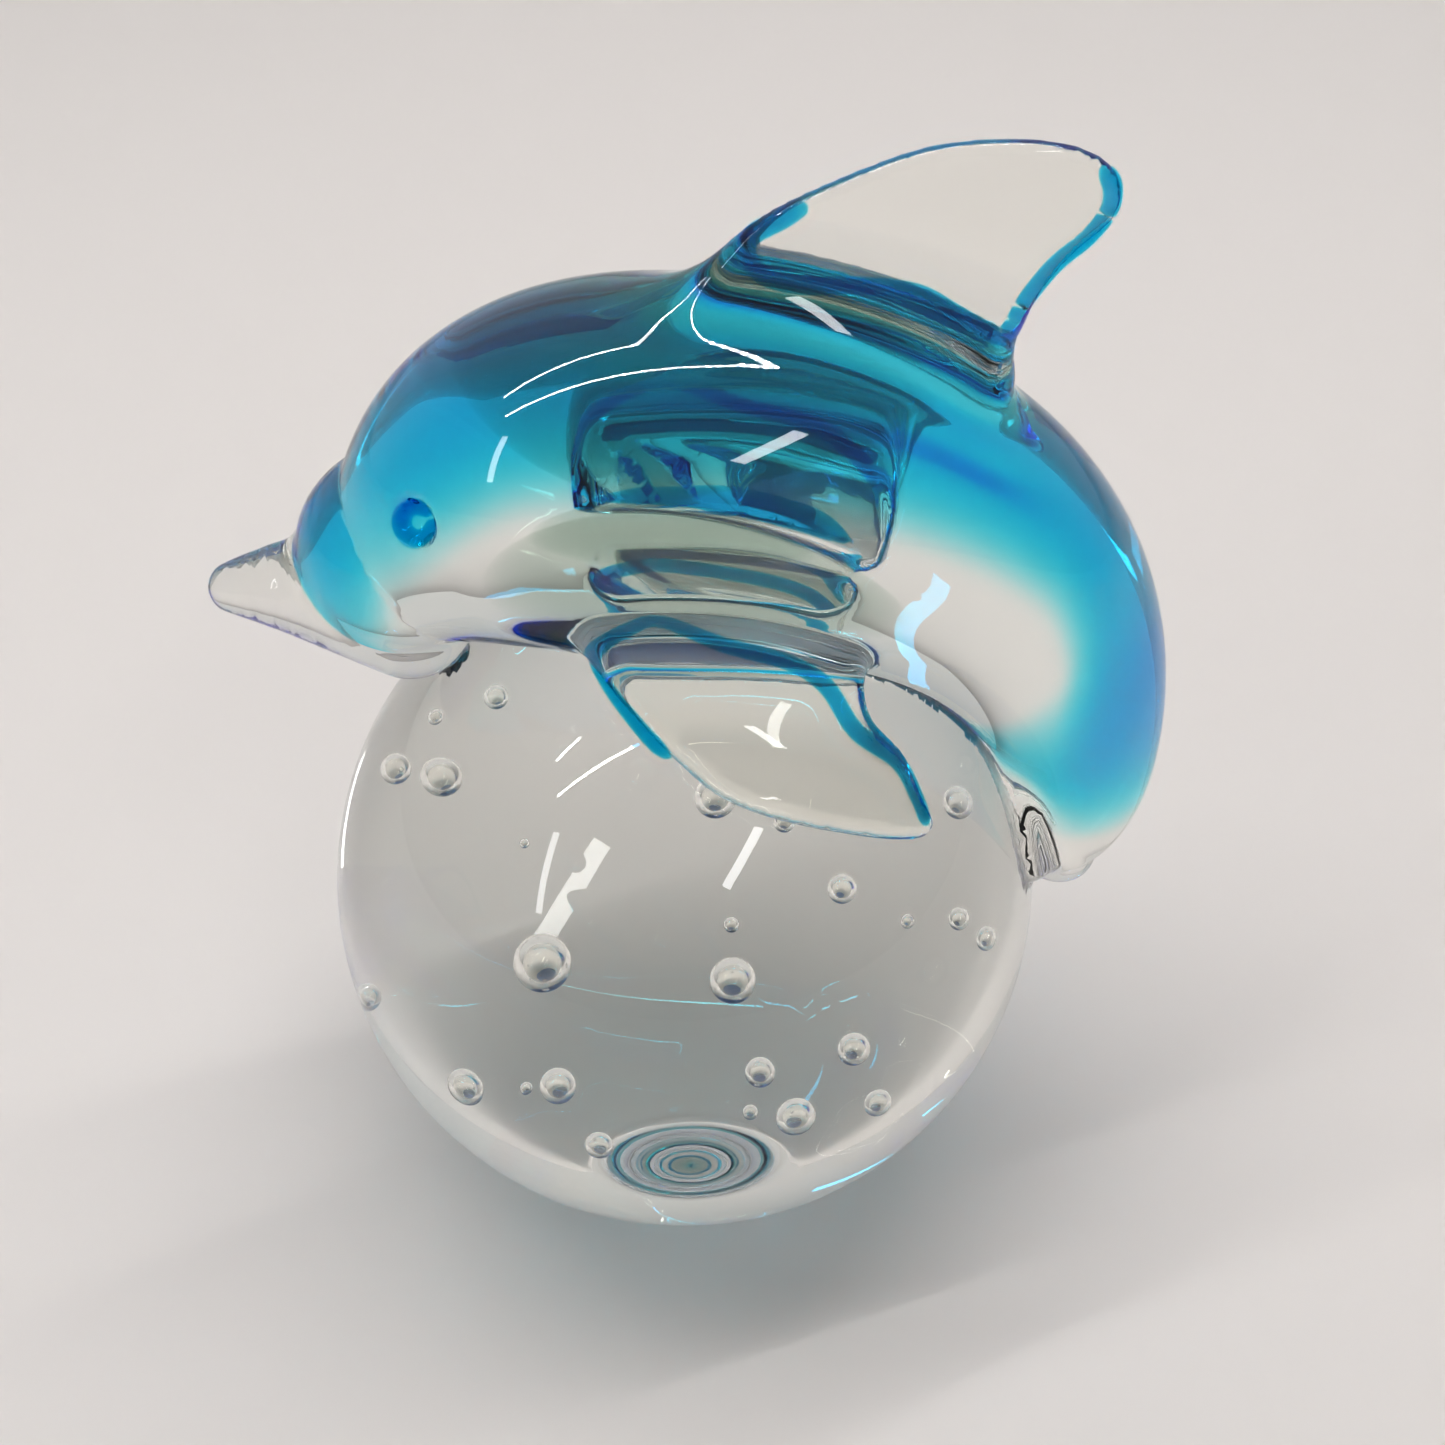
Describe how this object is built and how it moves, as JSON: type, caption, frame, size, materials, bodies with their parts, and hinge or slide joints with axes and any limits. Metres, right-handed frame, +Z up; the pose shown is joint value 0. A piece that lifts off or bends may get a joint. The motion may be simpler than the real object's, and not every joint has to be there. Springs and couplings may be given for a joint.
{
  "type": "glass figurine",
  "caption": "Hot-worked clear and blue glass dolphin arched over a clear bubble ball that rests on a ground flat.",
  "frame": {"origin": "centre of the ground flat under the ball, on the surface the figurine stands on", "axes": "+Z up out of the ground flat, the dolphin's arch in the XZ plane with its head towards -X, its left flipper towards -Y"},
  "size_m": [0.0965, 0.076, 0.1188],
  "materials": {
    "clear_glass": "fire-polished clear soda-lime glass with a faint grey-green cast",
    "blue_glass": "transparent copper and cobalt blue glass, cased in clear"
  },
  "bodies": {
    "root": {"ball": "clear_glass", "body_gather": "clear_glass", "blue_overlay": "blue_glass", "body_casing": "clear_glass", "beak": "clear_glass", "dorsal_fin": "clear_glass", "left_flipper": "clear_glass", "right_flipper": "clear_glass", "tail_flukes": "clear_glass"}
  },
  "joints": []
}
